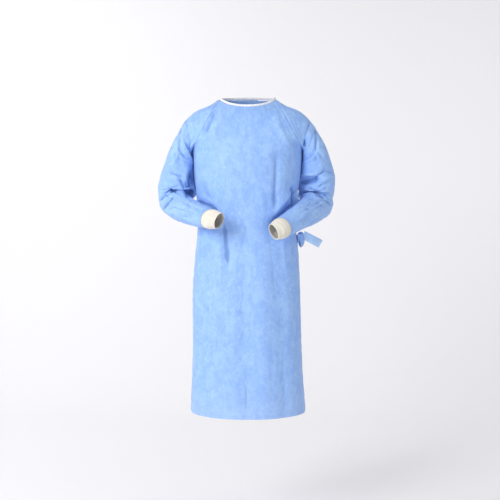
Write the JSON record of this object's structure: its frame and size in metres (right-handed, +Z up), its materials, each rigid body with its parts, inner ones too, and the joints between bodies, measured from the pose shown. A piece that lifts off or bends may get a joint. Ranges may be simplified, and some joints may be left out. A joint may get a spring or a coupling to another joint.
{
  "type": "surgical gown",
  "caption": "Long-sleeved surgical gown in the pose it is worn in, hollow, with raglan sleeves bent forwards, ribbed cuffs, a bound round neck and a belt tied at the side.",
  "frame": {"origin": "middle of the base of the neck, level with the points where the shoulders meet the neck binding", "axes": "+Z up along the gown, -Y to the front, +X to the gown's own left; metres"},
  "size_m": [0.6603, 0.3952, 1.1975],
  "materials": {
    "gown_cloth": "matt pale blue nonwoven cloth, cloudy and slightly crumpled",
    "white_binding": "white folded nonwoven strip",
    "cream_knit": "cream rib knit",
    "hook_and_loop": "white hook-and-loop tape"
  },
  "bodies": {
    "root": {"front_panel": "gown_cloth", "back_panel_right": "gown_cloth", "back_panel_left": "gown_cloth", "sleeve_left": "gown_cloth", "sleeve_right": "gown_cloth", "cuff_left": "cream_knit", "cuff_right": "cream_knit", "neck_binding": "white_binding", "neck_tab": "hook_and_loop", "belt_band": "gown_cloth", "belt_tail_front": "gown_cloth", "belt_tail_back": "gown_cloth", "belt_loop": "gown_cloth", "belt_knot": "gown_cloth"}
  },
  "joints": []
}
